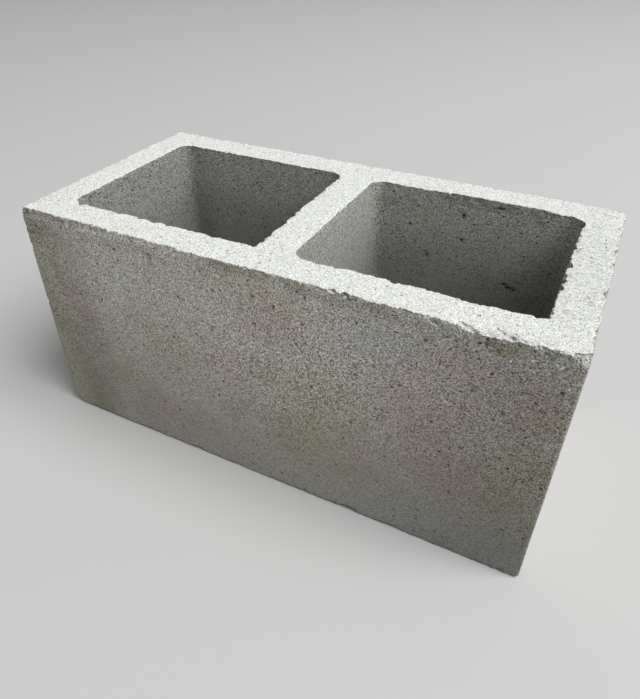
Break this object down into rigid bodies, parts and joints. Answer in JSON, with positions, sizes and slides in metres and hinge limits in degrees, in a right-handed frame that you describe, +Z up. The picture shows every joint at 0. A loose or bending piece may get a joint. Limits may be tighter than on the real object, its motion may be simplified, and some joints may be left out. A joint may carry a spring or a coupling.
{
  "type": "hollow concrete block",
  "caption": "Hollow cast concrete walling block: open tapered cores between flat face shells, end walls and a centre web.",
  "frame": {"origin": "centre of the bottom bed, on the surface that the block stands on", "axes": "+X along the block's length, +Y from the front face to the back face, +Z up through the cores"},
  "size_m": [0.39, 0.19, 0.185],
  "materials": {
    "concrete": "rough and granular, unpainted"
  },
  "bodies": {
    "root": {"hollow_block": "concrete"}
  },
  "joints": []
}
